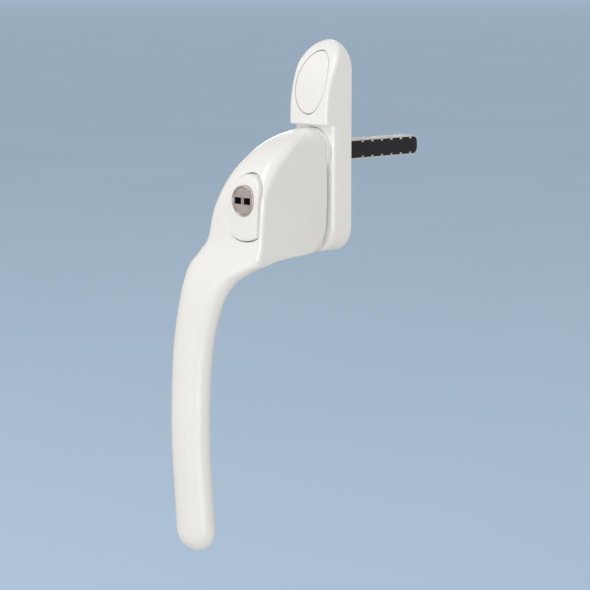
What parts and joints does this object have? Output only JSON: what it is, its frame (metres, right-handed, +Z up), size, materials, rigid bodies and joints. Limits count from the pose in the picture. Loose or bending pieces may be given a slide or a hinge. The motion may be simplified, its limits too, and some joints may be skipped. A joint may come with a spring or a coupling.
{
  "type": "keyed window lock",
  "caption": "Locking window handle: cranked lever with a push-to-lock key cylinder on a slim backplate, turning a long square spindle.",
  "frame": {"origin": "where the spindle's axis crosses the plane of the window frame that the backplate sits on", "axes": "+Z up along the backplate, +Y out of the back of the plate into the window along the spindle, +X to the right seen from the room"},
  "size_m": [0.0421, 0.093, 0.1792],
  "materials": {
    "white_coat": "gloss powder coat",
    "white_plastic": "moulded",
    "satin_nickel": "satin nickel plate",
    "black_steel": "black oxide with bright edges",
    "spring_steel": "drawn wire",
    "zinc_steel": "zinc plate",
    "brass": "stamped",
    "nylon": "moulded"
  },
  "bodies": {
    "backplate": {"backplate": "white_coat", "hub_bush": "nylon", "detent_disc": "zinc_steel", "stop_pin": "spring_steel"},
    "cover_cap": {"cover_cap": "white_plastic"},
    "lever": {"lever_handle": "white_coat", "spindle": "black_steel", "spindle_pin": "spring_steel", "detent_ball_1": "spring_steel", "detent_ball_2": "spring_steel", "detent_spring_1": "spring_steel", "detent_spring_2": "spring_steel", "thrust_washer": "zinc_steel", "retaining_ring": "spring_steel", "button_guide": "nylon", "lock_pin_bush": "brass"},
    "lock_button": {"lock_button": "white_plastic", "cylinder_body": "satin_nickel", "pin_carrier": "zinc_steel", "carrier_screw_1": "zinc_steel", "carrier_screw_2": "zinc_steel", "lock_pin": "zinc_steel", "return_spring": "spring_steel"},
    "key_plug": {"key_plug": "satin_nickel", "wafer_1": "brass", "wafer_2": "brass", "wafer_3": "brass", "wafer_4": "brass", "wafer_5": "brass", "wafer_spring_1": "spring_steel", "wafer_spring_2": "spring_steel", "wafer_spring_3": "spring_steel", "wafer_spring_4": "spring_steel", "wafer_spring_5": "spring_steel", "cam": "brass", "cam_screw": "zinc_steel"}
  },
  "joints": [
    {"name": "lever_turn", "type": "hinge", "parent": "backplate", "child": "lever", "pos_m": [0, 0, 0], "axis": [0, 1, 0], "range_deg": [0, 90]},
    {"name": "button_press", "type": "slide", "parent": "lever", "child": "lock_button", "axis": [0, 1, 0], "range_m": [0, 0.003], "stiffness_N_per_m": 700, "springref_m": -0.002, "deforming": ["return_spring"]},
    {"name": "key_turn", "type": "hinge", "parent": "lock_button", "child": "key_plug", "pos_m": [0, 0, -0.0148], "axis": [0, 1, 0], "range_deg": [0, 90]},
    {"name": "cap_lift", "type": "slide", "parent": "backplate", "child": "cover_cap", "axis": [0, -1, 0], "range_m": [0, 0.012]}
  ]
}
